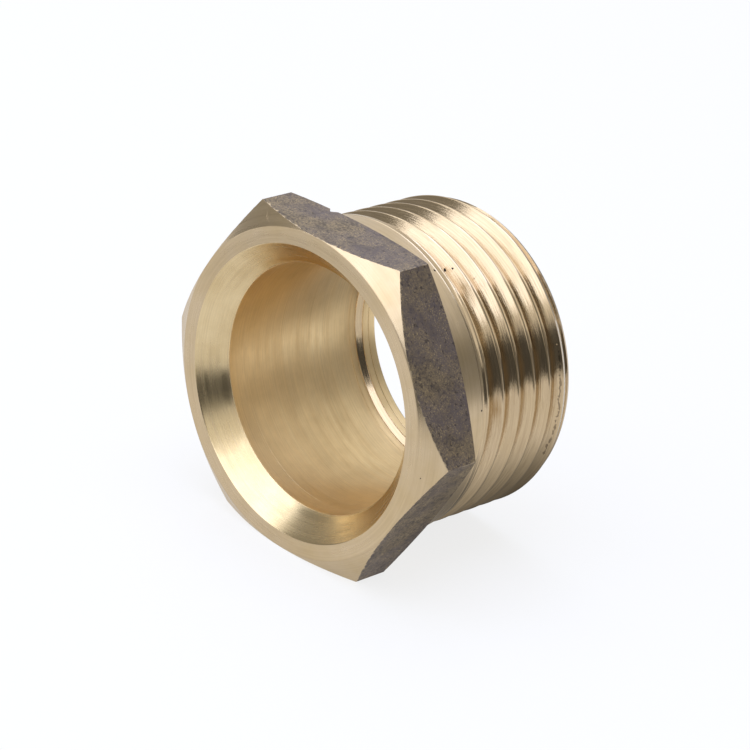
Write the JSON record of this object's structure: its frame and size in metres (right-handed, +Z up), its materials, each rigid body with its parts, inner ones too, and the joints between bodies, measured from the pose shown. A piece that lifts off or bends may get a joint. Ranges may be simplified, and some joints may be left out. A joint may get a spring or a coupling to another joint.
{
  "type": "pipe bushing",
  "caption": "Brass pipe bushing with a hexagon head, a short turned collar and a parallel outside pipe thread, bored through with a countersunk pipe socket that ends on a stop lip",
  "frame": {"origin": "Centre of the underside of the bounding box: below the middle of the bushing's length, on the plane its lower hexagon flat lies on", "axes": "+Y along the bushing's axis from the hexagon head to the thread's end, +Z up and square to the flat it lies on, +X towards a corner of the hexagon"},
  "size_m": [0.0318, 0.0186, 0.0276],
  "materials": {
    "brass": "bright turned brass, with the six flats of the hexagon left dark and rough as drawn bar"
  },
  "bodies": {
    "root": {"bushing": "brass"}
  },
  "joints": []
}
